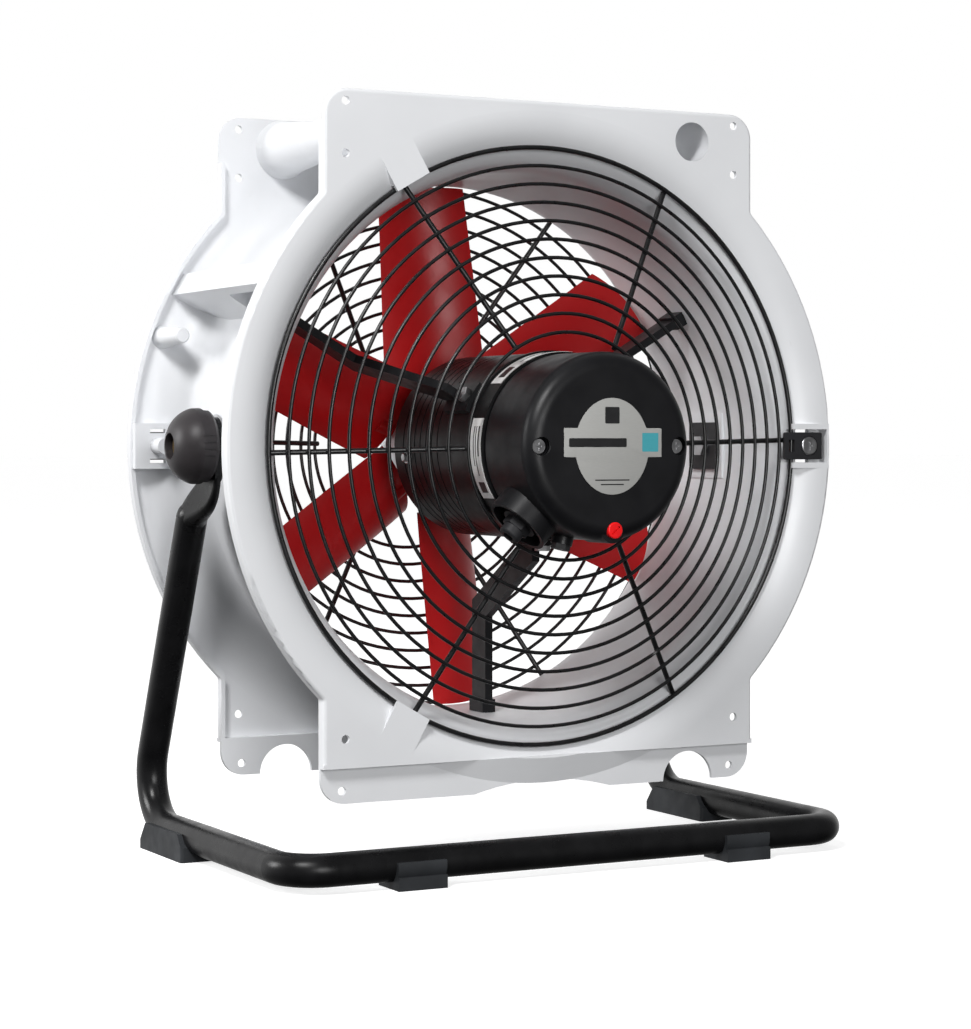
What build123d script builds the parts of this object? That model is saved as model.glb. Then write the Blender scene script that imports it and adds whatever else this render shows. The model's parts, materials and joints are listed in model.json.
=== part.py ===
import os
from math import cos, hypot, radians, sin, sqrt, tan

from build123d import *

os.makedirs("parts", exist_ok=True)

# ---------------------------------------------------------------- driving dimensions (mm)
PIVOT_Y = 39
PIVOT_Z = 392

FLANGE_HALF_HEIGHT = 325
FLANGE_R = 325
EAR_HALF = 230.5
EAR_CORNER_R = 24
HALF_DEPTH = 128
PLATE = 4
EDGE_R = 3.5
LIP_DEPTH = 12
LIP_TOP = 279
PLATE_BOTTOM = -292
STRIP_BACK = 8
DUCT_R = 262
WALL = 4
OUTER_R = DUCT_R + WALL
BELL_R = 54
EAR_MEET = sqrt(FLANGE_R ** 2 - EAR_HALF ** 2)
BELL_CENTRE_R = DUCT_R + BELL_R
BELL_CENTRE_Y = HALF_DEPTH - BELL_R

HOLE_X = 209
HOLE_Z_OUTER = 313.4
HOLE_Z_INNER = 265.5
HOLE_R = 4
POST_X = 161.3
POST_Z = 295.4
POST_BORE_R = 19
POST_BORE_DEPTH = 60

RING_COUNT = 11
RIM_RING_R = 281.9
RIM_RING_Y = 121.5
RING_STEP_R = 17.6
RING_STEP_Y = 4.87
RING_WIRE_R = 1.75
RIM_WIRE_R = 2.25
SPOKE_WIRE_R = 2.5
GUARD_TURN = 1.2

TUBE_R = 15
TUBE_WALL = 2.5
STAND_X = 289
STAND_Z = -371
STAND_FRONT_Y = -192
STAND_FLOOR_BACK_Y = 180.4
JOGGLE_Y = 46
JOGGLE_Z = -67
FRONT_BEND_R = 36
BACK_BEND_R = 50
FLAT_THICK = 7
FLAT_HALF_WIDTH = 21.5
FLOOR_Z = -PIVOT_Z

STUD_R = 6.25
RUNNING_GAP = 0.05
FACE_GAP = 0.3

MOTOR_R = 88
MOTOR_FRONT_Y = -166
MOTOR_BACK_Y = 32
CAP_R = 86
CAP_FACE_Y = -248
CAP_EDGE_R = 15
CAP_WALL = 3
CAP_SCREW_X = 72
PLUG_X = 2.7
PLUG_Z = -76
PLUG_R = 7.5
ARM_ANGLES = (30, 150, 270)
ARM_HALF_THICK = 4

SHAFT_R = 10
BLADE_COUNT = 6
BLADE_PHASE = 99
BLADE_TIP_R = 261
HUB_R = 58
HUB_MID_Y = 97
ROOT_R = 13
HUB_SCREW_R = 44

CENTRE = Vector(0, PIVOT_Y, PIVOT_Z)
AXLE = Axis((0, PIVOT_Y, PIVOT_Z), (0, 1, 0))
HALF_TURN = Location((0, 2 * PIVOT_Y, 0), (0, 0, 180))


# ---------------------------------------------------------------- placing helpers
def facing_front(y):
    """Plane across the duct at depth y, local x to the right, local y up, normal to the front."""
    return Plane(origin=(0, PIVOT_Y + y, PIVOT_Z), x_dir=(1, 0, 0), z_dir=(0, -1, 0))


def beside(x):
    """Plane at distance x from the middle, local x to the rear, local y up."""
    return Plane(origin=(x, PIVOT_Y, PIVOT_Z), x_dir=(0, 1, 0), z_dir=(1, 0, 0))


def radial_cut(angle):
    """Plane through the axle at an angle, local x outward, local y along the axle."""
    a = radians(angle)
    return Plane(origin=CENTRE, x_dir=(cos(a), 0, sin(a)), z_dir=(-sin(a), 0, cos(a)))


# turned profiles start at an angle where no spoke, pad, post or arm meets their seam
AXIAL = radial_cut(80)


def outward(angle, radius, y=0.0):
    """Plane square to a radius, local x along the axle, local y tangential, normal outward."""
    a = radians(angle)
    spot = CENTRE + Vector(radius * cos(a), y, radius * sin(a))
    return Plane(origin=spot, x_dir=(0, 1, 0), z_dir=(cos(a), 0, sin(a)))


def polar(angle, radius):
    a = radians(angle)
    return (radius * cos(a), radius * sin(a))


def bell_point(curve, end, turn=45):
    """Point some degrees round a bell mouth curve of a given radius, at the front (-1) or rear (1) end."""
    return (BELL_CENTRE_R - curve * cos(radians(turn)), end * (BELL_CENTRE_Y + curve * sin(radians(turn))))


def flange_outline(inset, top, bottom):
    """Closed outline of the flange: a circle with straight-sided ears above and below."""
    half = EAR_HALF - inset
    radius = FLANGE_R - inset
    meet = sqrt(radius ** 2 - half ** 2)
    Polyline((-half, meet), (-half, top), (half, top), (half, meet))
    ThreePointArc((half, meet), (radius, 0), (half, -meet))
    Polyline((half, -meet), (half, bottom), (-half, bottom), (-half, -meet))
    ThreePointArc((-half, -meet), (-radius, 0), (-half, meet))


def save(part, name):
    part.label = name
    export_step(part, f"parts/{name}.step")


# ---------------------------------------------------------------- housing
# one flange: plate, returned lip and set-back strip, still without the duct opening
with BuildPart() as flange:
    with BuildSketch(facing_front(-HALF_DEPTH + PLATE)) as plate_outline:
        with BuildLine():
            flange_outline(0, FLANGE_HALF_HEIGHT, PLATE_BOTTOM)
        make_face()
        fillet(plate_outline.vertices().group_by(Axis.Y)[-1], EAR_CORNER_R)
        fillet([v for v in plate_outline.vertices() if abs(abs(v.Y) - EAR_MEET) < 1], 5)
    extrude(amount=PLATE)
    plate_face = flange.faces().sort_by(Axis.Y)[0]
    rim_edges = [e for e in plate_face.outer_wire().edges() if e.center().Z > PIVOT_Z + PLATE_BOTTOM + 1]
    fillet(rim_edges, EDGE_R)
    with BuildSketch(facing_front(-HALF_DEPTH + LIP_DEPTH)) as lip_outline:
        with BuildLine():
            flange_outline(0, LIP_TOP, PLATE_BOTTOM)
        make_face()
        fillet([v for v in lip_outline.vertices() if abs(abs(v.Y) - EAR_MEET) < 1], 5)
        with BuildLine():
            flange_outline(PLATE, 400, -400)
        make_face(mode=Mode.SUBTRACT)
    extrude(amount=LIP_DEPTH - PLATE)
    with BuildSketch(facing_front(-HALF_DEPTH + STRIP_BACK + PLATE)) as strip:
        with Locations((0, -306.5)):
            Rectangle(2 * EAR_HALF, 37)
        fillet(strip.vertices().group_by(Axis.Y)[0], EAR_CORNER_R)
        with Locations((0, -586.5)):
            Circle(271.5, mode=Mode.SUBTRACT)
        with Locations((POST_X, -FLANGE_HALF_HEIGHT)):
            Circle(28, mode=Mode.SUBTRACT)
    extrude(amount=PLATE)
    with BuildSketch(facing_front(-HALF_DEPTH + STRIP_BACK + PLATE)):
        with Locations((0, PLATE_BOTTOM + 2)):
            Rectangle(2 * EAR_HALF, 4)
    extrude(amount=STRIP_BACK + PLATE)
    # fixing holes and the mouth of the post's bore
    with BuildSketch(facing_front(-110)):
        with Locations(*[(sx * HOLE_X, sz * z) for sx in (-1, 1) for sz in (-1, 1)
                         for z in (HOLE_Z_INNER, HOLE_Z_OUTER)]):
            Circle(HOLE_R)
        with Locations((POST_X, POST_Z)):
            Circle(POST_BORE_R)
    extrude(amount=30, mode=Mode.SUBTRACT)

# what is cut away once at each end
with BuildPart() as flange_cuts:
    # pocket, screw hole and slots of the guard clamp
    with BuildSketch(facing_front(-114)):
        with Locations((299.35, 0)):
            Rectangle(42.7, 33)
    extrude(amount=20)
    with BuildSketch(facing_front(-90)):
        with Locations((300, 0)):
            Circle(3.1)
    extrude(amount=30)
    with BuildSketch(facing_front(-100)):
        with Locations((300, 14.5), (300, -14.5)):
            Rectangle(16, 4)
    extrude(amount=20)
    # groove that lets the guard rim pass behind the pads
    with BuildSketch(AXIAL):
        with BuildLine():
            Polyline(
                (276, -124.4), (286.5, -124.4), (286.5, -119.3), (284, -117.6), (281, -115.2),
                (278.5, -113), (276, -110.4), close=True,
            )
        make_face()
    revolve(axis=AXLE)
    # seat of the pivot block and the hole of its stud
    with BuildSketch(beside(DUCT_R + 0.6)):
        Rectangle(50, 48)
    extrude(amount=-14)
    with BuildSketch(beside(240)):
        Circle(STUD_R)
    extrude(amount=60)

# what one flange gets once the duct is open: bulge over the strip, pads, clamp pocket
with BuildPart() as flange_bulge:
    with BuildSketch(AXIAL):
        with BuildLine():
            Polyline((288, -118), (294, -128), (318, -120), (318, -117), (288, -117), close=True)
        make_face()
    revolve(axis=AXLE)
    with Locations((0, PIVOT_Y - 120, PIVOT_Z + PLATE_BOTTOM - 100)):
        Box(460, 60, 200, mode=Mode.INTERSECT)

with BuildPart() as flange_relief:
    with BuildSketch(AXIAL):
        with BuildLine():
            Polyline((294, -128), (318, -120), (350, -120), (350, -132), (294, -132), close=True)
        make_face()
    revolve(axis=AXLE)
    with Locations((0, PIVOT_Y - 120, PIVOT_Z + PLATE_BOTTOM - 100)):
        Box(470, 60, 200, mode=Mode.INTERSECT)

with BuildPart() as flange_pads:
    for pad_angle in (120, 240):
        with BuildSketch(radial_cut(pad_angle)):
            with BuildLine():
                Polyline(
                    (280, -128), (317, -128), (317, -125.5), (300, -123.7), (290, -119.5),
                    (281, -111.5), close=True,
                )
            make_face()
        extrude(amount=18.65, both=True)
    with BuildSketch(radial_cut(0)):
        with BuildLine():
            Polyline((280, -128), (323, -128), (323, -108), (288, -108), (281, -111.5), close=True)
        make_face()
    extrude(amount=22, both=True)
    with BuildSketch(facing_front(-110)):
        with Locations((300, 0)):
            Circle(8)
    extrude(amount=-24)
    add(flange_cuts.part, mode=Mode.SUBTRACT)

with BuildPart() as cross_parts:
    # hollow post between the two flanges
    with BuildSketch(Plane(origin=(POST_X, PIVOT_Y, PIVOT_Z + POST_Z), x_dir=(1, 0, 0), z_dir=(0, 0, 1))):
        with BuildLine():
            Polyline(
                (POST_BORE_R, -126), (29.3, -126), (29.3, -122), (27, -114), (20, -40), (20, 112),
                (22, 120), (27, 125), (27, 126), (0, 126), (0, POST_BORE_DEPTH - HALF_DEPTH),
                (POST_BORE_R, POST_BORE_DEPTH - HALF_DEPTH), close=True,
            )
        make_face()
    revolve(axis=Axis((POST_X, PIVOT_Y, PIVOT_Z + POST_Z), (0, 1, 0)))

    # carrying handle: a radial web with a finger recess underneath
    with BuildSketch(radial_cut(150)):
        with BuildLine():
            front_side = [bell_point(52, -1, turn) for turn in (84, 75, 60, 45, 30, 15, 0)]
            rear_side = [bell_point(52, 1, turn) for turn in (0, 15, 30, 45, 60, 75, 84)]
            Polyline((BELL_CENTRE_R, -126), *front_side, *rear_side, (BELL_CENTRE_R, 126), close=True)
        make_face()
    extrude(amount=12, both=True)
    with BuildSketch(radial_cut(150).offset(-7)):
        with Locations((292, -48)):
            RectangleRounded(26, 104, 8)
    extrude(amount=30, mode=Mode.SUBTRACT)

    # pocket in the root of the web for the moulded-in heads of the arm's screws
    with BuildSketch(outward(150, OUTER_R - 1)):
        RectangleRounded(34, 13, 6)
    extrude(amount=5, mode=Mode.SUBTRACT)

    # tapered peg on the inner face of the flange
    with BuildSketch(Plane(origin=(-STAND_X, PIVOT_Y, PIVOT_Z + 106), x_dir=(1, 0, 0), z_dir=(0, 0, 1))):
        with BuildLine():
            Polyline((0, 124.6), (11.4, 124.6), (11, 120), (7.5, 71.5), (6, 70), (0, 70), close=True)
        make_face()
    revolve(axis=Axis((-STAND_X, PIVOT_Y, PIVOT_Z + 106), (0, 1, 0)))

    # outer pivot boss and the inner frame of the pivot block
    with BuildSketch(beside(DUCT_R + 0.5)):
        Circle(30)
    extrude(amount=20.7)
    with BuildSketch(beside(DUCT_R - 3.5)):
        Rectangle(62, 66)
    extrude(amount=4.5)
    add(flange_cuts.part, mode=Mode.SUBTRACT)

with BuildPart() as housing:
    add(flange.part)
    add(flange.part.moved(HALF_TURN))
    # duct wall with a bell mouth at each end
    with BuildSketch(AXIAL):
        with BuildLine():
            Line((DUCT_R, BELL_CENTRE_Y), (DUCT_R, -BELL_CENTRE_Y))
            ThreePointArc((DUCT_R, -BELL_CENTRE_Y), bell_point(BELL_R, -1), (BELL_CENTRE_R, -HALF_DEPTH))
            Line((BELL_CENTRE_R, -HALF_DEPTH), (BELL_CENTRE_R, WALL - HALF_DEPTH))
            ThreePointArc(
                (BELL_CENTRE_R, WALL - HALF_DEPTH), bell_point(BELL_R - WALL, -1), (OUTER_R, -BELL_CENTRE_Y),
            )
            Line((OUTER_R, -BELL_CENTRE_Y), (OUTER_R, BELL_CENTRE_Y))
            ThreePointArc(
                (OUTER_R, BELL_CENTRE_Y), bell_point(BELL_R - WALL, 1), (BELL_CENTRE_R, HALF_DEPTH - WALL),
            )
            Line((BELL_CENTRE_R, HALF_DEPTH - WALL), (BELL_CENTRE_R, HALF_DEPTH))
            ThreePointArc((BELL_CENTRE_R, HALF_DEPTH), bell_point(BELL_R, 1), (DUCT_R, BELL_CENTRE_Y))
        make_face()
    revolve(axis=AXLE)
    with BuildSketch(AXIAL):
        with BuildLine():
            Line((DUCT_R, BELL_CENTRE_Y), (DUCT_R, -BELL_CENTRE_Y))
            ThreePointArc((DUCT_R, -BELL_CENTRE_Y), bell_point(BELL_R, -1), (BELL_CENTRE_R, -HALF_DEPTH))
            Polyline((BELL_CENTRE_R, -HALF_DEPTH), (BELL_CENTRE_R, -140), (0, -140), (0, 140),
                     (BELL_CENTRE_R, 140), (BELL_CENTRE_R, HALF_DEPTH))
            ThreePointArc((BELL_CENTRE_R, HALF_DEPTH), bell_point(BELL_R, 1), (DUCT_R, BELL_CENTRE_Y))
        make_face()
    revolve(axis=AXLE, mode=Mode.SUBTRACT)
    for turn in (Location(), HALF_TURN):
        for cut in flange_cuts.solids():
            add(cut.moved(turn), mode=Mode.SUBTRACT)
        add(flange_bulge.part.moved(turn))
        add(flange_relief.part.moved(turn), mode=Mode.SUBTRACT)
    for turn in (Location(), HALF_TURN):
        add(flange_pads.part.moved(turn))
        add(cross_parts.part.moved(turn))
    # clearance holes for the arm screws in the duct wall
    for arm_angle in ARM_ANGLES:
        with BuildSketch(outward(arm_angle, DUCT_R - 6)):
            with Locations((-5, 0), (11, 0)):
                Circle(2.6)
        extrude(amount=12, mode=Mode.SUBTRACT)
save(housing.part, "housing")

# ---------------------------------------------------------------- pivots and knobs, right side first
with BuildPart() as pivot_block:
    with BuildSketch(beside(255)) as block_face:
        Rectangle(50, 48)
        fillet(block_face.vertices(), 4)
    extrude(amount=3)
    with BuildSketch(beside(258)):
        Rectangle(50, 48)
    extrude(amount=4.6)
    with BuildSketch(beside(250)):
        Circle(STUD_R)
    extrude(amount=20, mode=Mode.SUBTRACT)
save(pivot_block.part, "pivot_block_right")

with BuildPart() as pivot_stud:
    with BuildSketch(beside(249)):
        RegularPolygon(11, 6)
    extrude(amount=6)
    with BuildSketch(beside(255)):
        Circle(STUD_R)
    extrude(amount=67)
    chamfer(pivot_stud.faces().sort_by(Axis.X)[-1].edges(), 1)
save(pivot_stud.part, "pivot_stud_right")

with BuildPart() as friction_washer:
    with BuildSketch(beside(DUCT_R + 21.2)):
        Circle(20)
        Circle(STUD_R, mode=Mode.SUBTRACT)
    extrude(amount=2)
save(friction_washer.part, "friction_washer_right")

KNOB_X = STAND_X + FLAT_THICK / 2 + FACE_GAP
KNOB_CUT = Plane(origin=(KNOB_X, PIVOT_Y, PIVOT_Z), x_dir=(1, 0, 0), z_dir=(0, -1, 0))
with BuildPart() as knob:
    with BuildSketch(KNOB_CUT):
        with BuildLine():
            Polyline((0, 10), (0, 33), (3, 35.2), (7, 35.5), (15, 35.3))
            ThreePointArc((15, 35.3), (29.5, 26.5), (36.2, 14.5))
            Polyline((36.2, 14.5), (36.8, 12.4), (36, 12), (30, 11.5), (30, 10), (0, 10))
        make_face()
    revolve(axis=Axis((0, PIVOT_Y, PIVOT_Z), (1, 0, 0)))
    # finger scallops above and below
    with BuildSketch(Plane(origin=(KNOB_X - 1, PIVOT_Y, PIVOT_Z), x_dir=(0, 1, 0), z_dir=(1, 0, 0))):
        with Locations((0, 38), (0, -38)):
            Circle(13)
    extrude(amount=9, mode=Mode.SUBTRACT)
    # grip grooves fore and aft
    for groove_angle in (-15, -5, 5, 15, 165, 175, 185, 195):
        groove = radians(groove_angle)
        with Locations(Plane(
            origin=(KNOB_X + 11, PIVOT_Y + 35.9 * cos(groove), PIVOT_Z + 35.9 * sin(groove)),
            x_dir=(1, 0, 0), z_dir=(0, cos(groove), sin(groove)),
        )):
            Box(14, 1.4, 2, mode=Mode.SUBTRACT)
save(knob.part, "knob_right")

with BuildPart() as knob_insert:
    with BuildSketch(beside(KNOB_X)):
        Circle(10)
        Circle(STUD_R + RUNNING_GAP, mode=Mode.SUBTRACT)
    extrude(amount=30)
save(knob_insert.part, "knob_insert_right")

for right_part, left_name in (
    (pivot_block, "pivot_block_left"),
    (pivot_stud, "pivot_stud_left"),
    (friction_washer, "friction_washer_left"),
    (knob, "knob_left"),
    (knob_insert, "knob_insert_left"),
):
    with BuildPart() as left_part:
        add(right_part.part.moved(HALF_TURN))
    save(left_part.part, left_name)

# ---------------------------------------------------------------- guards
SPOKE_BACK = RING_WIRE_R + SPOKE_WIRE_R - 0.8
with BuildPart() as front_guard:
    with BuildSketch(AXIAL):
        with Locations((RIM_RING_R, -RIM_RING_Y)):
            Circle(RIM_WIRE_R)
        with Locations(*[(RIM_RING_R - RING_STEP_R * i, -RIM_RING_Y - RING_STEP_Y * i)
                         for i in range(1, RING_COUNT)]):
            Circle(RING_WIRE_R)
    revolve(axis=AXLE)
    for spoke_index in range(6):
        spoke_plane = radial_cut(60 * spoke_index + GUARD_TURN)
        inner_r = RIM_RING_R - RING_STEP_R * (RING_COUNT - 1) - 2
        inner_y = -RIM_RING_Y - RING_STEP_Y * (RING_COUNT - 1) + SPOKE_BACK
        outer_r = RIM_RING_R - 1.9
        outer_y = -RIM_RING_Y + SPOKE_BACK
        run = hypot(outer_r - inner_r, outer_y - inner_y)
        start = spoke_plane.from_local_coords((inner_r, inner_y, 0))
        finish = spoke_plane.from_local_coords((outer_r, outer_y, 0))
        with BuildSketch(Plane(origin=start, z_dir=finish - start)):
            Circle(SPOKE_WIRE_R)
        extrude(amount=run)
save(front_guard.part, "front_guard")

with BuildPart() as rear_guard:
    add(front_guard.part.moved(HALF_TURN))
save(rear_guard.part, "rear_guard")

with BuildPart() as guard_clamp:
    with BuildSketch(facing_front(-124)) as clamp_face:
        with Locations((292.75, 0)):
            Rectangle(44.5, 27)
        fillet(clamp_face.vertices(), 2)
    extrude(amount=3)
    with BuildSketch(facing_front(-114)):
        with Locations((303, 0)):
            Rectangle(28, 26)
    extrude(amount=10.2)
    with BuildSketch(facing_front(-100)):
        with Locations((279, 0)):
            Rectangle(7, 12)
        with Locations((300, 0)):
            Circle(3.1)
    extrude(amount=40, mode=Mode.SUBTRACT)
    with BuildSketch(facing_front(-124.5)):
        with Locations((300, 0)):
            Circle(9.8)
    extrude(amount=10, mode=Mode.SUBTRACT)
save(guard_clamp.part, "guard_clamp_front")

with BuildPart() as clamp_screw:
    with BuildSketch(facing_front(-124.5)):
        with Locations((300, 0)):
            Circle(9.5)
    extrude(amount=3.5)
    fillet(clamp_screw.faces().sort_by(Axis.Y)[0].edges(), 2)
    with BuildSketch(facing_front(-126.2)):
        with Locations((300, 0)):
            Rectangle(9, 2)
            Rectangle(2, 9)
    extrude(amount=4, mode=Mode.SUBTRACT)
    with BuildSketch(facing_front(-92)):
        with Locations((300, 0)):
            Circle(3.1)
    extrude(amount=32.5)
save(clamp_screw.part, "guard_clamp_screw_front")

with BuildPart() as guard_clamp_rear:
    add(guard_clamp.part.moved(HALF_TURN))
save(guard_clamp_rear.part, "guard_clamp_rear")

with BuildPart() as clamp_screw_rear:
    add(clamp_screw.part.moved(HALF_TURN))
save(clamp_screw_rear.part, "guard_clamp_screw_rear")

# ---------------------------------------------------------------- motor arms and their screws
arm_names = {30: "motor_arm_right", 150: "motor_arm_left", 270: "motor_arm_bottom"}
for arm_angle, arm_name in arm_names.items():
    with BuildPart() as arm:
        with BuildSketch(radial_cut(arm_angle)):
            with BuildLine():
                Polyline(
                    (261.9, -11), (261.9, 17), (152.2, 17), (MOTOR_R, -87.6), (MOTOR_R, -106),
                    (109.5, -106), (167.8, -11), close=True,
                )
            make_face()
        extrude(amount=ARM_HALF_THICK, both=True)
        # saddle on the motor
        with BuildSketch(AXIAL):
            with Locations((MOTOR_R + 3, -107)):
                Rectangle(6, 46)
        revolve(axis=AXLE)
        with BuildSketch(radial_cut(arm_angle)):
            with Locations((170, 0)):
                Rectangle(190, 300)
        extrude(amount=15, both=True, mode=Mode.INTERSECT)
        # threaded end block at the duct wall
        with BuildSketch(outward(arm_angle, 249)):
            with Locations((3, 0)):
                Rectangle(28, 14)
        extrude(amount=12.6)
        with BuildSketch(outward(arm_angle, 250)):
            with Locations((-5, 0), (11, 0)):
                Circle(2.6)
        extrude(amount=20, mode=Mode.SUBTRACT)
        with BuildSketch(outward(arm_angle, 80)):
            with Locations((-119, 0)):
                Circle(3.6)
        extrude(amount=20, mode=Mode.SUBTRACT)
    save(arm.part, arm_name)

with BuildPart() as motor_bolts:
    for arm_angle in ARM_ANGLES:
        with BuildSketch(outward(arm_angle, MOTOR_R - 6)):
            with Locations((-119, 0)):
                Circle(3.6)
        extrude(amount=12.1)
        with BuildSketch(outward(arm_angle, MOTOR_R + 6)):
            with Locations((-119, 0)):
                RegularPolygon(7.5, 6)
        extrude(amount=5)
save(motor_bolts.part, "arm_bolts_motor")

with BuildPart() as duct_bolts:
    for arm_angle in ARM_ANGLES:
        with BuildSketch(outward(arm_angle, 250)):
            with Locations((-5, 0), (11, 0)):
                Circle(2.6)
        extrude(amount=16.2)
        with BuildSketch(outward(arm_angle, DUCT_R + WALL)):
            with Locations((-5, 0), (11, 0)):
                Circle(5)
        extrude(amount=3)
save(duct_bolts.part, "arm_bolts_duct")

# ---------------------------------------------------------------- motor
with BuildPart() as motor_body:
    with BuildSketch(AXIAL):
        with BuildLine():
            Polyline(
                (MOTOR_R, MOTOR_FRONT_Y + 4), (MOTOR_R, 20), (MOTOR_R - 3, 26), (82, 26),
                (82, -158), (81, -158), (81, MOTOR_FRONT_Y), (82.8, MOTOR_FRONT_Y),
                (82.8, MOTOR_FRONT_Y + 4), close=True,
            )
        make_face()
    revolve(axis=AXLE)
    for rib_y in range(-72, 12, 12):
        with BuildSketch(AXIAL):
            with Locations((MOTOR_R, rib_y)):
                Rectangle(1.2, 2)
        revolve(axis=AXLE, mode=Mode.SUBTRACT)
    with BuildSketch(AXIAL):
        with Locations((MOTOR_R + 0.5, -133.5)):
            Rectangle(3, 4)
    revolve(axis=AXLE)
    for arm_angle in ARM_ANGLES:
        with BuildSketch(outward(arm_angle, 76)):
            with Locations((-119, 0)):
                Circle(3.6)
        extrude(amount=20, mode=Mode.SUBTRACT)
save(motor_body.part, "motor_body")

with BuildPart() as end_shield_front:
    with BuildSketch(AXIAL):
        with BuildLine():
            Polyline(
                (12, -157.9), (80.9, -157.9), (80.9, -166), (76, -166), (76, -160), (24, -160),
                (24, -166), (12, -166), close=True,
            )
        make_face()
        with BuildLine():
            Polyline((12, -157.9), (82, -157.9), (82, -150), (26, -146), (26, -136), (20, -136),
                     (20, -150), (12, -150), close=True)
        make_face()
    revolve(axis=AXLE)
    with BuildSketch(facing_front(-150)):
        with Locations((CAP_SCREW_X, 0), (-CAP_SCREW_X, 0)):
            Circle(7)
    extrude(amount=20)
    with BuildSketch(facing_front(-150)):
        with Locations((CAP_SCREW_X, 0), (-CAP_SCREW_X, 0)):
            Circle(2.5)
    extrude(amount=30, mode=Mode.SUBTRACT)
save(end_shield_front.part, "motor_end_shield_front")

with BuildPart() as end_shield_rear:
    with BuildSketch(AXIAL):
        with BuildLine():
            Polyline(
                (81.9, 14), (81.9, 26), (84.5, 26), (80, MOTOR_BACK_Y), (26, MOTOR_BACK_Y),
                (24, 35), (16, 35), (16, 30), (21, 30), (21, 14), (27, 14), (27, 22),
                (74, 22), (74, 14), close=True,
            )
        make_face()
    revolve(axis=AXLE)
save(end_shield_rear.part, "motor_end_shield_rear")

with BuildPart() as stator_core:
    with BuildSketch(facing_front(-20)):
        Circle(81.9)
        Circle(45, mode=Mode.SUBTRACT)
        with PolarLocations(61, 12):
            Rectangle(14, 9, mode=Mode.SUBTRACT)
    extrude(amount=90)
save(stator_core.part, "stator_core")

with BuildPart() as stator_windings:
    for ring_y in (-121, -9.5):
        with BuildSketch(AXIAL):
            with Locations((61, ring_y)):
                RectangleRounded(22, 20.9, 5)
        revolve(axis=AXLE)
    with BuildSketch(facing_front(-19)):
        with PolarLocations(61, 12):
            Rectangle(13.6, 8.6)
    extrude(amount=92)
save(stator_windings.part, "stator_windings")

with BuildPart() as rotor_core:
    with BuildSketch(facing_front(-20)):
        Circle(44.5)
        Circle(SHAFT_R, mode=Mode.SUBTRACT)
    extrude(amount=90)
    chamfer(rotor_core.edges().filter_by(GeomType.CIRCLE).sort_by(SortBy.RADIUS)[-2:], 1)
save(rotor_core.part, "rotor_core")

with BuildPart() as motor_shaft:
    with BuildSketch(facing_front(HUB_MID_Y + 28)):
        Circle(SHAFT_R)
    extrude(amount=HUB_MID_Y + 28 + 147)
    chamfer(motor_shaft.faces().sort_by(Axis.Y)[0].edges(), 1)
    with BuildSketch(facing_front(HUB_MID_Y + 34)):
        with Locations((0, SHAFT_R)):
            Rectangle(6, 7)
    extrude(amount=52, mode=Mode.SUBTRACT)
    with BuildSketch(facing_front(HUB_MID_Y + 34)):
        Circle(3)
    extrude(amount=30, mode=Mode.SUBTRACT)
save(motor_shaft.part, "motor_shaft")

for bearing_name, bearing_y, bearing_r in (("front_bearing", -136, 20), ("rear_bearing", 30, 21)):
    with BuildPart() as bearing:
        with BuildSketch(facing_front(bearing_y)):
            Circle(bearing_r)
            Circle(SHAFT_R + RUNNING_GAP, mode=Mode.SUBTRACT)
        extrude(amount=14)
        for face_y in (bearing_y - 14, bearing_y - 1):
            with BuildSketch(facing_front(face_y + 1)):
                Circle(bearing_r - 2.5)
                Circle(SHAFT_R + 2.5, mode=Mode.SUBTRACT)
            extrude(amount=1, mode=Mode.SUBTRACT)
    save(bearing.part, bearing_name)

with BuildPart() as shaft_seal:
    with BuildSketch(facing_front(35)):
        Circle(16)
        Circle(SHAFT_R + RUNNING_GAP, mode=Mode.SUBTRACT)
    extrude(amount=5)
save(shaft_seal.part, "shaft_seal")

# ---------------------------------------------------------------- motor cap with gland and plug
with BuildPart() as cap_envelope:
    with BuildSketch(AXIAL) as envelope_half:
        with BuildLine():
            Polyline(
                (0, CAP_FACE_Y), (CAP_R, CAP_FACE_Y), (CAP_R, MOTOR_FRONT_Y), (0, MOTOR_FRONT_Y), close=True,
            )
        make_face()
        fillet(envelope_half.vertices().sort_by(Axis.Y)[:2].sort_by(Axis.X)[-1:], CAP_EDGE_R)
    revolve(axis=AXLE)

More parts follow.
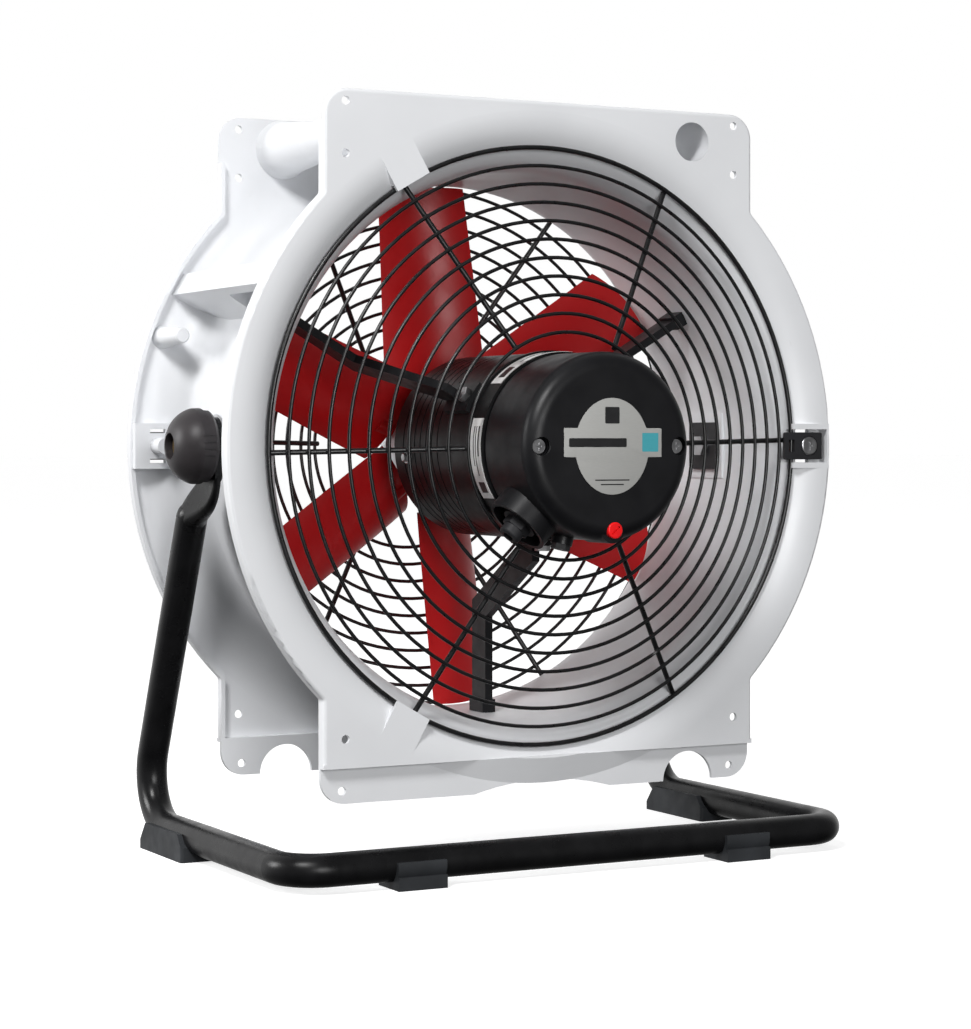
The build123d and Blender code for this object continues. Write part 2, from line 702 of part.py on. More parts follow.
with BuildPart() as motor_cap:
    add(cap_envelope.part)
    # lobe around the drain plug
    with BuildSketch(facing_front(-205)):
        with Locations((PLUG_X, PLUG_Z)):
            Circle(12)
    extrude(amount=-CAP_FACE_Y - 208)
    # gland boss and blanking boss
    with BuildSketch(outward(226, 60, -197)):
        Circle(30)
    extrude(amount=41)
    with BuildSketch(outward(255, 60, -197)):
        Circle(10)
    extrude(amount=33)
    # hollow inside
    with BuildSketch(AXIAL):
        with BuildLine():
            Polyline((0, CAP_FACE_Y + CAP_WALL), (70, CAP_FACE_Y + CAP_WALL))
            ThreePointArc((70, CAP_FACE_Y + CAP_WALL), (78.8, -241.2), (CAP_R - CAP_WALL, -232))
            Polyline(
                (CAP_R - CAP_WALL, -232), (CAP_R - CAP_WALL, -160), (0, -160), (0, CAP_FACE_Y + CAP_WALL),
            )
        make_face()
    revolve(axis=AXLE, mode=Mode.SUBTRACT)
    # tubes for the two cap screws
    with BuildSketch(facing_front(-170)):
        with Locations((CAP_SCREW_X, 0), (-CAP_SCREW_X, 0)):
            Circle(6)
    extrude(amount=76)
    with BuildSketch(facing_front(-232)):
        with Locations((CAP_SCREW_X, 0), (-CAP_SCREW_X, 0)):
            Circle(10.8)
    extrude(amount=10)
    with BuildSketch(facing_front(-238)):
        with Locations((CAP_SCREW_X, 0), (-CAP_SCREW_X, 0)):
            Circle(8.5)
    extrude(amount=20, mode=Mode.SUBTRACT)
    with BuildSketch(facing_front(-160)):
        with Locations((CAP_SCREW_X, 0), (-CAP_SCREW_X, 0)):
            Circle(2.6)
    extrude(amount=100, mode=Mode.SUBTRACT)
    # seat of the drain plug
    with BuildSketch(facing_front(-230)):
        with Locations((PLUG_X, PLUG_Z)):
            Circle(9.5)
    extrude(amount=15)
    with BuildSketch(facing_front(-225)):
        with Locations((PLUG_X, PLUG_Z)):
            Circle(PLUG_R + RUNNING_GAP)
    extrude(amount=30, mode=Mode.SUBTRACT)
    # bores of the gland boss and the blanking boss
    with BuildSketch(outward(226, 90, -197)):
        Circle(26.5)
    extrude(amount=20, mode=Mode.SUBTRACT)
    with BuildSketch(outward(226, 60, -197)):
        Circle(17)
    extrude(amount=50, mode=Mode.SUBTRACT)
    with BuildSketch(outward(255, 60, -197)):
        Circle(6)
    extrude(amount=50, mode=Mode.SUBTRACT)
save(motor_cap.part, "motor_cap")

with BuildPart() as cap_screws:
    for screw_x in (-CAP_SCREW_X, CAP_SCREW_X):
        with BuildSketch(facing_front(-238)):
            with Locations((screw_x, 0)):
                Circle(6.5)
        extrude(amount=3.4)
        with BuildSketch(facing_front(-240.2)):
            with Locations((screw_x, 0)):
                Rectangle(7, 1.4)
                Rectangle(1.4, 7)
        extrude(amount=3, mode=Mode.SUBTRACT)
        with BuildSketch(facing_front(-156)):
            with Locations((screw_x, 0)):
                Circle(2.5)
        extrude(amount=82.5)
save(cap_screws.part, "cap_screws")

with BuildPart() as label_plate:
    with BuildSketch(facing_front(CAP_FACE_Y)) as label_face:
        Ellipse(38.5, 43.6)
        with Locations((1, 3.3)):
            RectangleRounded(102, 26.2, 2.5)
    extrude(amount=0.6)
save(label_plate.part, "label_plate")

with BuildPart() as rating_stickers:
    for sticker_from, sticker_to in ((84, 139), (163, 213)):
        sticker_start = radians(sticker_from)
        sticker_plane = Plane(
            origin=CENTRE, x_dir=(cos(sticker_start), 0, sin(sticker_start)),
            z_dir=(-sin(sticker_start), 0, cos(sticker_start)),
        )
        with BuildSketch(sticker_plane):
            with Locations((MOTOR_R + 0.2, -150)):
                Rectangle(0.4, 20)
        revolve(axis=AXLE, revolution_arc=sticker_from - sticker_to)
save(rating_stickers.part, "rating_stickers")

with BuildPart() as cable_gland:
    with BuildSketch(outward(226, 84, -197)):
        Circle(17)
    extrude(amount=14)
    with BuildSketch(outward(226, 98, -197)):
        RegularPolygon(13, 6)
    extrude(amount=7)
    with BuildSketch(outward(226, 105, -197)):
        Circle(10.5)
    extrude(amount=9)
    gland_axis = Axis((0, 0, 0), (cos(radians(226)), 0, sin(radians(226))))
    fillet(cable_gland.faces().sort_by(gland_axis)[-1].edges(), 3)
    with BuildSketch(outward(226, 80, -197)):
        Circle(5)
    extrude(amount=40, mode=Mode.SUBTRACT)
save(cable_gland.part, "cable_gland")

with BuildPart() as blanking_plug:
    with BuildSketch(outward(255, 80, -197)):
        Circle(6)
    extrude(amount=13)
    with BuildSketch(outward(255, 93, -197)):
        RegularPolygon(9, 6)
    extrude(amount=5)
save(blanking_plug.part, "blanking_plug")

with BuildPart() as drain_plug:
    with BuildSketch(facing_front(-228)):
        with Locations((PLUG_X, PLUG_Z)):
            Circle(PLUG_R)
    extrude(amount=22)
    fillet(drain_plug.faces().sort_by(Axis.Y)[0].edges(), 1.2)
    with BuildSketch(facing_front(-248)):
        with Locations(Location((PLUG_X, PLUG_Z), 40)):
            Rectangle(11, 1.8)
    extrude(amount=4, mode=Mode.SUBTRACT)
save(drain_plug.part, "drain_plug")

with BuildPart() as run_capacitor:
    with BuildSketch(Plane(origin=(-32, PIVOT_Y - 192, PIVOT_Z + 42), x_dir=(0, 1, 0), z_dir=(1, 0, 0))):
        Circle(19)
    extrude(amount=64)
    fillet(run_capacitor.edges().filter_by(GeomType.CIRCLE), 2)
save(run_capacitor.part, "run_capacitor")

with BuildPart() as capacitor_clip:
    with BuildSketch(Plane(origin=(-7, PIVOT_Y, PIVOT_Z), x_dir=(0, 1, 0), z_dir=(1, 0, 0))):
        with Locations((-192, 42)):
            Circle(21)
        with Locations((-176, 28)):
            Rectangle(31.9, 8)
        with Locations((-192, 42)):
            Circle(19, mode=Mode.SUBTRACT)
    extrude(amount=14)
save(capacitor_clip.part, "capacitor_clip")

with BuildPart() as terminal_block:
    with BuildSketch(facing_front(-160)):
        with Locations((5, -42)):
            Rectangle(60, 24)
    extrude(amount=6)
    with BuildSketch(facing_front(-166)):
        with Locations((5, -42)):
            Rectangle(56, 16)
    extrude(amount=14)
    with BuildSketch(facing_front(-176)):
        with Locations(*[(-18 + 11.5 * i, -42) for i in range(5)]):
            Circle(3)
    extrude(amount=8, mode=Mode.SUBTRACT)
save(terminal_block.part, "terminal_block")

# ---------------------------------------------------------------- impeller
with BuildPart() as impeller_hub:
    with BuildSketch(AXIAL):
        with BuildLine():
            Polyline(
                (SHAFT_R, 46), (22, 46), (24, 48), (26, HUB_MID_Y - 19), (HUB_R - 2, HUB_MID_Y - 19),
                (HUB_R, HUB_MID_Y - 17), (HUB_R, HUB_MID_Y - 5), (24, HUB_MID_Y - 5),
                (24, HUB_MID_Y + 22), (22, HUB_MID_Y + 24), (SHAFT_R, HUB_MID_Y + 24), close=True,
            )
        make_face()
    revolve(axis=AXLE)
    for blade_index in range(BLADE_COUNT):
        with BuildSketch(outward(BLADE_PHASE + 60 * blade_index, 36, HUB_MID_Y)):
            Circle(ROOT_R)
        extrude(amount=60, mode=Mode.SUBTRACT)
    with BuildSketch(facing_front(HUB_MID_Y - 26)):
        for blade_index in range(BLADE_COUNT):
            with Locations(polar(BLADE_PHASE + 30 + 60 * blade_index, HUB_SCREW_R)):
                Circle(3)
    extrude(amount=-30, mode=Mode.SUBTRACT)
    with BuildSketch(facing_front(HUB_MID_Y + 29)):
        with Locations((0, SHAFT_R)):
            Rectangle(6, 7)
    extrude(amount=90, mode=Mode.SUBTRACT)
save(impeller_hub.part, "impeller_hub")

with BuildPart() as blade_clamp_plate:
    with BuildSketch(AXIAL):
        with BuildLine():
            Polyline(
                (24, HUB_MID_Y + 5), (HUB_R, HUB_MID_Y + 5), (HUB_R, HUB_MID_Y + 17),
                (HUB_R - 2, HUB_MID_Y + 19), (24, HUB_MID_Y + 19), close=True,
            )
        make_face()
    revolve(axis=AXLE)
    for blade_index in range(BLADE_COUNT):
        with BuildSketch(outward(BLADE_PHASE + 60 * blade_index, 36, HUB_MID_Y)):
            Circle(ROOT_R)
        extrude(amount=60, mode=Mode.SUBTRACT)
    with BuildSketch(facing_front(HUB_MID_Y - 6)):
        for blade_index in range(BLADE_COUNT):
            with Locations(polar(BLADE_PHASE + 30 + 60 * blade_index, HUB_SCREW_R)):
                Circle(3)
    extrude(amount=-30, mode=Mode.SUBTRACT)
save(blade_clamp_plate.part, "blade_clamp_plate")

with BuildPart() as hub_screws:
    for blade_index in range(BLADE_COUNT):
        screw_spot = polar(BLADE_PHASE + 30 + 60 * blade_index, HUB_SCREW_R)
        with BuildSketch(facing_front(HUB_MID_Y - 18)):
            with Locations(screw_spot):
                Circle(3)
        extrude(amount=-37.2)
        with BuildSketch(facing_front(HUB_MID_Y + 19)):
            with Locations(screw_spot):
                RegularPolygon(5.5, 6)
        extrude(amount=-4)
save(hub_screws.part, "hub_screws")

with BuildPart() as hub_key:
    with BuildSketch(facing_front(HUB_MID_Y + 24)):
        with Locations((0, SHAFT_R)):
            Rectangle(6, 7)
    extrude(amount=40)
save(hub_key.part, "hub_key")

with BuildPart() as shaft_end_washer:
    with BuildSketch(facing_front(HUB_MID_Y + 31)):
        Circle(15)
        Circle(3, mode=Mode.SUBTRACT)
    extrude(amount=3)
save(shaft_end_washer.part, "shaft_end_washer")

with BuildPart() as shaft_end_screw:
    with BuildSketch(facing_front(HUB_MID_Y + 36)):
        RegularPolygon(6, 6)
    extrude(amount=5)
    with BuildSketch(facing_front(HUB_MID_Y + 31)):
        Circle(3)
    extrude(amount=22)
save(shaft_end_screw.part, "shaft_end_screw")

# blade sections: radius, then rear edge and front edge as (clockwise offset, depth), camber, thickness
BLADE_SECTIONS = (
    (60, (-37, 127.5), (49, 69.5), 13, 5.5),
    (125, (-33, 121.5), (52, 72), 12, 4.5),
    (190, (-28, 115.5), (54.5, 74.3), 11, 3.6),
    (264, (-23, 109), (57.5, 77), 10, 3),
)
for blade_index in range(BLADE_COUNT):
    blade_angle = BLADE_PHASE + 60 * blade_index
    with BuildPart() as blade:
        for section_r, (rear_t, rear_y), (front_t, front_y), camber, thick in BLADE_SECTIONS:
            chord = hypot(front_t - rear_t, front_y - rear_y)
            normal_y = (rear_t - front_t) / chord
            normal_t = (rear_y - front_y) / chord
            mid_y = (rear_y + front_y) / 2
            mid_t = (rear_t + front_t) / 2
            crown = camber + thick / 2
            hollow = camber - thick / 2
            with BuildSketch(outward(blade_angle, section_r)):
                with BuildLine():
                    ThreePointArc(
                        (rear_y, -rear_t),
                        (mid_y + crown * normal_y, -mid_t + crown * normal_t),
                        (front_y, -front_t),
                    )
                    ThreePointArc(
                        (front_y, -front_t),
                        (mid_y + hollow * normal_y, -mid_t + hollow * normal_t),
                        (rear_y, -rear_t),
                    )
                make_face()
        loft()
        # tip trimmed to the duct
        with BuildSketch(facing_front(200)):
            Circle(BLADE_TIP_R)
        extrude(amount=200, mode=Mode.INTERSECT)
        with BuildSketch(outward(blade_angle, 37, HUB_MID_Y)):
            Circle(ROOT_R)
        extrude(amount=38)
    save(blade.part, f"blade_{blade_index + 1}")

# ---------------------------------------------------------------- stand
def stand_point(side, y, z):
    return Vector(side * STAND_X, PIVOT_Y + y, PIVOT_Z + z)


def bend(before, corner, after, radius):
    """Start, middle and end of the arc that rounds a corner between two straight runs."""
    u = (before - corner).normalized()
    v = (after - corner).normalized()
    half = u.get_angle(v) / 2
    reach = radius / tan(radians(half))
    bisector = (u + v).normalized()
    centre = corner + bisector * (radius / sin(radians(half)))
    return corner + u * reach, centre - bisector * radius, corner + v * reach


left_top = stand_point(-1, JOGGLE_Y, JOGGLE_Z)
left_back = stand_point(-1, STAND_FLOOR_BACK_Y, STAND_Z)
left_front = stand_point(-1, STAND_FRONT_Y, STAND_Z)
right_front = stand_point(1, STAND_FRONT_Y, STAND_Z)
right_back = stand_point(1, STAND_FLOOR_BACK_Y, STAND_Z)
right_top = stand_point(1, JOGGLE_Y, JOGGLE_Z)
bends = (
    bend(left_top, left_back, left_front, BACK_BEND_R),
    bend(left_back, left_front, right_front, FRONT_BEND_R),
    bend(left_front, right_front, right_back, FRONT_BEND_R),
    bend(right_front, right_back, right_top, BACK_BEND_R),
)

# squashed tube ends: depth, height, lean of the section, thickness, width
SQUASH_SECTIONS = ((26, -55, 45, 17, 36), (4, -39, 25, 8.5, 40), (0, -24, 0, FLAT_THICK, 42))
with BuildPart() as stand_tube:
    with BuildLine() as tube_path:
        run_start = left_top
        for arc_start, arc_middle, arc_end in bends:
            Line(run_start, arc_start)
            ThreePointArc(arc_start, arc_middle, arc_end)
            run_start = arc_end
        Line(run_start, right_top)
    with BuildSketch(Plane(origin=left_top, z_dir=left_back - left_top)):
        Circle(TUBE_R)
        Circle(TUBE_R - TUBE_WALL, mode=Mode.SUBTRACT)
    sweep(path=tube_path.line)
    # squashed and joggled ends, drilled for the pivot studs
    for side in (-1, 1):
        end_top = stand_point(side, JOGGLE_Y, JOGGLE_Z)
        end_run = end_top - stand_point(side, STAND_FLOOR_BACK_Y, STAND_Z)
        end_root = end_top - end_run.normalized() * 6
        with BuildSketch(Plane(origin=end_root, x_dir=(1, 0, 0), z_dir=end_run)):
            RectangleRounded(29.4, 29.4, 14.6)
        for squash_y, squash_z, lean, thick, width in SQUASH_SECTIONS:
            squash_normal = (0, -sin(radians(lean)), cos(radians(lean)))
            squash_origin = stand_point(side, squash_y, squash_z)
            with BuildSketch(Plane(origin=squash_origin, x_dir=(1, 0, 0), z_dir=squash_normal)):
                RectangleRounded(thick, width, thick / 2 - 0.1)
        loft()
        with BuildSketch(beside(side * STAND_X - FLAT_THICK / 2)) as flat_end:
            with Locations((0, -3.5)):
                Rectangle(2 * FLAT_HALF_WIDTH, 61)
            fillet(flat_end.vertices().group_by(Axis.Y)[-1], 14)
            fillet(flat_end.vertices().group_by(Axis.Y)[0], 8)
        extrude(amount=FLAT_THICK)
        with Locations(end_top):
            Sphere(14.85)
    for side in (-1, 1):
        with BuildSketch(beside(side * STAND_X)):
            Circle(STUD_R + RUNNING_GAP)
        extrude(amount=10, both=True, mode=Mode.SUBTRACT)
save(stand_tube.part, "stand_tube")

for side, foot_name in ((-1, "foot_rear_left"), (1, "foot_rear_right")):
    with BuildPart() as rear_foot:
        with BuildSketch(beside(side * STAND_X)):
            with BuildLine():
                Polyline((24, FLOOR_Z), (135, FLOOR_Z), (135, FLOOR_Z + 6), (119, -366), (34, -366),
                         (24, -378), close=True)
            make_face()
        extrude(amount=20, both=True)
        vertical_edges = rear_foot.edges().filter_by(Axis.Z)
        fillet(vertical_edges, 3)
        with BuildSketch(facing_front(200)):
            with Locations((side * STAND_X, STAND_Z)):
                Circle(TUBE_R)
        extrude(amount=300, mode=Mode.SUBTRACT)
        with BuildSketch(facing_front(200)):
            with Locations((side * STAND_X, STAND_Z + 10)):
                Rectangle(2 * TUBE_R, 20)
        extrude(amount=300, mode=Mode.SUBTRACT)
    save(rear_foot.part, foot_name)

for side, foot_name in ((-1, "foot_front_left"), (1, "foot_front_right")):
    with BuildPart() as front_foot:
        with BuildSketch(beside(side * 148)) as foot_face:
            with Locations((STAND_FRONT_Y, STAND_Z)):
                Circle(TUBE_R + 4)
            with Locations((STAND_FRONT_Y, STAND_Z + 24)):
                Rectangle(60, 40, mode=Mode.SUBTRACT)
            with Locations((STAND_FRONT_Y + 1, FLOOR_Z + 6)):
                Rectangle(42, 12)
            with Locations((STAND_FRONT_Y, STAND_Z)):
                Circle(TUBE_R, mode=Mode.SUBTRACT)
        extrude(amount=side * 48)
    save(front_foot.part, foot_name)
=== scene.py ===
import json
from math import cos, hypot, pi, radians, sin, tau

import bpy
import bmesh
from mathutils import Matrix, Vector


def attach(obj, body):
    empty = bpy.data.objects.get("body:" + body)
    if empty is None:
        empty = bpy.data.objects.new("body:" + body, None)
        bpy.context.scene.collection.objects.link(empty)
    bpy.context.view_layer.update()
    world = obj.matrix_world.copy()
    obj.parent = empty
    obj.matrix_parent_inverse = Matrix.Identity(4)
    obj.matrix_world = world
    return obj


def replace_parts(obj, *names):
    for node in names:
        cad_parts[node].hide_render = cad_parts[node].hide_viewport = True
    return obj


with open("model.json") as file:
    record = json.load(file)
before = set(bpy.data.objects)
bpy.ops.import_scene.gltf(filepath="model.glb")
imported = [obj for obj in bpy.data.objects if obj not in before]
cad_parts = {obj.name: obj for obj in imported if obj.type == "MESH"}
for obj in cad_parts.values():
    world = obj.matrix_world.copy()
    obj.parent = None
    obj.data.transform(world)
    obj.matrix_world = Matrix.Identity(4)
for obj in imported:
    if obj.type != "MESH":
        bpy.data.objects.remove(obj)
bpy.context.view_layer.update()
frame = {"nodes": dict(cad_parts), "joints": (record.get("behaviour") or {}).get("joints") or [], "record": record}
nodes = frame["nodes"]
scene = bpy.context.scene

# the tilt hinge lies on the axle, at the middle of the duct
TILT = next(j for j in frame["joints"] if j["name"] == "housing_tilt")
CENTRE = Vector(TILT["pos_m"])
MM = 0.001
SHARP_ANGLE = radians(32)

# faces and rings of the CAD that the mesh pieces sit on, in millimetres from the middle of the duct
CAP_FACE_Y = -248
MOTOR_R = 88
RIM_RING_R = 281.9
RIM_RING_Y = -121.5
RING_STEP_R = 17.6
RING_STEP_Y = -4.87
INNER_RINGS = range(1, 11)
SPOKE_COUNT = 6
GUARD_TURN = 1.2
WELD_BEHIND_RING = 1.9

# outline of the label: an oval crossed by a band
OVAL_X = 38.5
OVAL_Z = 43.6
BAND_X = 1
BAND_Z = 3.3
BAND_HALF_WIDTH = 51
BAND_HALF_HEIGHT = 13.1


# ---------------------------------------------------------------- shader helpers
class Shader:
    """A Principled material whose colour, roughness and bump come from procedural noise."""

    def __init__(self, name, color, roughness, metallic=0.0, specular=0.5):
        self.material = bpy.data.materials.new(name)
        self.material.use_nodes = True
        self.nodes = self.material.node_tree.nodes
        self.links = self.material.node_tree.links
        self.base = self.nodes["Principled BSDF"]
        self.color = color
        self.roughness = roughness
        self.base.inputs["Base Color"].default_value = (*color, 1)
        self.base.inputs["Roughness"].default_value = roughness
        self.base.inputs["Metallic"].default_value = metallic
        self.base.inputs["Specular IOR Level"].default_value = specular
        self.coords = self.nodes.new("ShaderNodeTexCoord").outputs["Object"]
        self.normal = None

    def node(self, kind, **inputs):
        made = self.nodes.new(kind)
        for key, value in inputs.items():
            if hasattr(value, "is_linked"):
                self.links.new(value, made.inputs[key])
            else:
                made.inputs[key].default_value = value
        return made

    def noise(self, scale, stretch=None):
        vector = self.coords
        if stretch:
            mapping = self.node("ShaderNodeMapping", Vector=vector)
            mapping.inputs["Scale"].default_value = stretch
            vector = mapping.outputs["Vector"]
        return self.node("ShaderNodeTexNoise", Vector=vector, Scale=scale, Detail=4.0).outputs["Fac"]

    def ramp(self, value, low, high):
        """Spreads the middle of a noise over low to high."""
        made = self.node("ShaderNodeMapRange", Value=value)
        made.inputs["From Min"].default_value = 0.35
        made.inputs["From Max"].default_value = 0.65
        made.inputs["To Min"].default_value = low
        made.inputs["To Max"].default_value = high
        return made.outputs["Result"]

    def mix(self, factor, a, b):
        made = self.nodes.new("ShaderNodeMix")
        made.data_type = "RGBA"
        self.links.new(factor, made.inputs["Factor"])
        for socket, value in ((made.inputs["A"], a), (made.inputs["B"], b)):
            if hasattr(value, "is_linked"):
                self.links.new(value, socket)
            else:
                socket.default_value = (*value, 1)
        return made.outputs["Result"]

    def paint(self, output):
        self.links.new(output, self.base.inputs["Base Color"])
        return self

    def vary_color(self, scale, other, stretch=None):
        factor = self.ramp(self.noise(scale, stretch), 0.0, 1.0)
        return self.paint(self.mix(factor, self.color, other))

    def vary_roughness(self, scale, spread, stretch=None):
        factor = self.ramp(self.noise(scale, stretch), self.roughness - spread, self.roughness + spread)
        self.links.new(factor, self.base.inputs["Roughness"])
        return self

    def bump(self, height, strength, distance):
        made = self.node("ShaderNodeBump", Height=height, Strength=strength, Distance=distance)
        if self.normal:
            self.links.new(self.normal, made.inputs["Normal"])
        self.normal = made.outputs["Normal"]
        self.links.new(self.normal, self.base.inputs["Normal"])
        return self

    def grain(self, scale, strength, distance, stretch=None):
        return self.bump(self.noise(scale, stretch), strength, distance)


def housing_plastic():
    """White moulded polyethylene: soft gloss, faint mottling, fine moulded grain."""
    made = Shader("housing_plastic", (0.80, 0.81, 0.83), 0.38)
    made.vary_color(9.0, (0.76, 0.77, 0.79))
    made.vary_roughness(14.0, 0.05)
    made.grain(900.0, 0.05, 0.2 * MM)
    made.grain(24.0, 0.06, 1.2 * MM)
    return made.material


def powder_coat(name, color, roughness, specular=0.22):
    """Powder-coated steel: orange peel and slightly uneven gloss."""
    made = Shader(name, color, roughness, specular=specular)
    made.vary_color(40.0, tuple(c * 1.5 for c in color))
    made.vary_roughness(60.0, 0.06)
    made.grain(420.0, 0.12, 0.25 * MM)
    return made.material


def moulded_plastic(name, color, roughness, strength=0.07):
    """Dark or coloured moulded plastic with a spark-eroded grain."""
    made = Shader(name, color, roughness, specular=0.28)
    made.vary_color(30.0, tuple(min(1, c * 1.35) for c in color))
    made.vary_roughness(45.0, 0.05)
    made.grain(700.0, strength, 0.15 * MM)
    return made.material


def blade_plastic():
    """Glass-filled red nylon: satin, with streaks that run along the flow of the moulding."""
    made = Shader("blade_plastic", (0.50, 0.008, 0.010), 0.36, specular=0.3)
    made.vary_color(7.0, (0.50, 0.009, 0.011))
    made.vary_roughness(35.0, 0.06)
    made.grain(260.0, 0.07, 0.2 * MM)
    return made.material


def cast_metal(name, color, roughness):
    """Painted or bare casting with sand texture."""
    made = Shader(name, color, roughness, metallic=0.0 if color[0] < 0.2 else 0.9, specular=0.22)
    made.vary_color(55.0, tuple(c * 1.35 for c in color))
    made.vary_roughness(50.0, 0.07)
    made.grain(520.0, 0.25, 0.3 * MM)
    return made.material


def plated_steel(name, color, roughness, stretch=None):
    """Zinc-plated or turned steel with fine tool marks."""
    made = Shader(name, color, roughness, metallic=1.0)
    made.vary_color(90.0, tuple(c * 0.8 for c in color))
    made.vary_roughness(120.0, 0.08, stretch)
    made.grain(900.0, 0.12, 0.08 * MM, stretch)
    return made.material


def rubber(name, color, roughness):
    """Matte rubber with a dusty bloom."""
    made = Shader(name, color, roughness, specular=0.3)
    made.vary_color(22.0, tuple(c * 1.6 for c in color))
    made.vary_roughness(70.0, 0.06)
    made.grain(600.0, 0.3, 0.2 * MM)
    return made.material


def film(name, color, roughness):
    """Printed label film, faintly brushed."""
    made = Shader(name, color, roughness)
    made.vary_color(260.0, tuple(c * 0.94 for c in color), stretch=(1, 1, 14))
    made.vary_roughness(160.0, 0.04)
    made.grain(1500.0, 0.03, 0.04 * MM)
    return made.material


materials = {
    "housing_plastic": housing_plastic(),
    "stand_steel": powder_coat("stand_steel", (0.006, 0.006, 0.0065), 0.3),
    "guard_wire": powder_coat("guard_wire", (0.005, 0.005, 0.0055), 0.32, 0.5),
    "foot_rubber": rubber("foot_rubber", (0.022, 0.024, 0.027), 0.6),
    "knob_plastic": moulded_plastic("knob_plastic", (0.026, 0.023, 0.0245), 0.42),
    "motor_cast": cast_metal("motor_cast", (0.005, 0.005, 0.0055), 0.42),
    "cap_plastic": moulded_plastic("cap_plastic", (0.006, 0.006, 0.007), 0.4),
    "arm_steel": powder_coat("arm_steel", (0.007, 0.007, 0.008), 0.38),
    "blade_plastic": blade_plastic(),
    "plug_plastic": moulded_plastic("plug_plastic", (0.72, 0.010, 0.012), 0.28, strength=0.05),
    "label_film": film("label_film", (0.40, 0.40, 0.385), 0.45),
    "sticker_film": film("sticker_film", (0.86, 0.86, 0.85), 0.35),
    "zinc_steel": plated_steel("zinc_steel", (0.48, 0.48, 0.49), 0.36),
    "dark_plastic": moulded_plastic("dark_plastic", (0.018, 0.018, 0.02), 0.5),
    "hub_cast": cast_metal("hub_cast", (0.55, 0.56, 0.58), 0.45),
    "electrical_steel": plated_steel("electrical_steel", (0.35, 0.35, 0.37), 0.45, (1, 40, 1)),
    "copper": plated_steel("copper", (0.60, 0.26, 0.12), 0.38, (30, 1, 30)),
    "brass_insert": plated_steel("brass_insert", (0.22, 0.16, 0.08), 0.45),
    "friction_fibre": rubber("friction_fibre", (0.16, 0.12, 0.09), 0.8),
}
PRINT_DARK = film("print_dark", (0.012, 0.012, 0.013), 0.4)
PRINT_TEAL = film("print_teal", (0.06, 0.36, 0.42), 0.4)


# ---------------------------------------------------------------- CAD nodes: finish and smooth shading
node_slot = {row["node"]: row["material_slot"] for row in frame["record"]["subparts"]}
for name, obj in nodes.items():
    obj.data.materials.clear()
    obj.data.materials.append(materials[node_slot[name]])
    obj.data.shade_smooth()
    obj.data.set_sharp_from_angle(angle=SHARP_ANGLE)


# ---------------------------------------------------------------- pieces built in mesh
def place(x, y, z):
    """Point given in millimetres from the middle of the duct."""
    return CENTRE + MM * Vector((x, y, z))


def make_piece(name, points, faces, material, slot):
    """Mesh object that moves with the housing."""
    mesh = bpy.data.meshes.new(name)
    mesh.from_pydata([tuple(point) for point in points], [], faces)
    shell = bmesh.new()
    shell.from_mesh(mesh)
    bmesh.ops.recalc_face_normals(shell, faces=shell.faces)
    shell.to_mesh(mesh)
    shell.free()
    mesh.materials.append(material)
    mesh.shade_smooth()
    mesh.set_sharp_from_angle(angle=SHARP_ANGLE)
    obj = bpy.data.objects.new(name, mesh)
    scene.collection.objects.link(obj)
    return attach(obj, "housing")


def loft(rings):
    """Points and faces of a closed body through rings that all have the same number of points."""
    count = len(rings[0])
    points = [point for ring in rings for point in ring]
    faces = [tuple(reversed(range(count))), tuple(range(len(points) - count, len(points)))]
    for row in range(len(rings) - 1):
        for i in range(count):
            j = (i + 1) % count
            faces.append((row * count + i, row * count + j, (row + 1) * count + j, (row + 1) * count + i))
    return points, faces


def join_bodies(bodies):
    """Points and faces of several bodies in one mesh."""
    points, faces = [], []
    for body_points, body_faces in bodies:
        offset = len(points)
        points.extend(body_points)
        faces.extend(tuple(i + offset for i in face) for face in body_faces)
    return points, faces


def label_outline(inset):
    """Oval with a crossing band, as points (x, z)."""
    outline = []
    for i in range(288):
        turn = tau * (i + 0.5) / 288
        oval = OVAL_X * OVAL_Z / hypot(OVAL_Z * cos(turn), OVAL_X * sin(turn))
        to_side = (BAND_HALF_WIDTH + (BAND_X if cos(turn) > 0 else -BAND_X)) / abs(cos(turn))
        to_edge = (BAND_HALF_HEIGHT + (BAND_Z if sin(turn) > 0 else -BAND_Z)) / abs(sin(turn))
        reach = max(oval, min(to_side, to_edge)) - inset
        outline.append((reach * cos(turn), reach * sin(turn)))
    return outline


def rounded_bar(x, z, width, height, corner):
    """Rectangle with round corners, as points (x, z)."""
    outline = []
    for quarter in range(4):
        for step in range(5):
            turn = tau * (quarter / 4 + step / 16)
            side_x = 1 if quarter in (0, 3) else -1
            side_z = 1 if quarter < 2 else -1
            outline.append((
                x + side_x * (width / 2 - corner) + corner * cos(turn),
                z + side_z * (height / 2 - corner) + corner * sin(turn),
            ))
    return outline


def on_cap(outline, low, high):
    """Flat body on the face of the motor cap, from low to high millimetres above it."""
    return loft([[place(x, CAP_FACE_Y - rise, z) for x, z in outline] for rise in (low, high)])


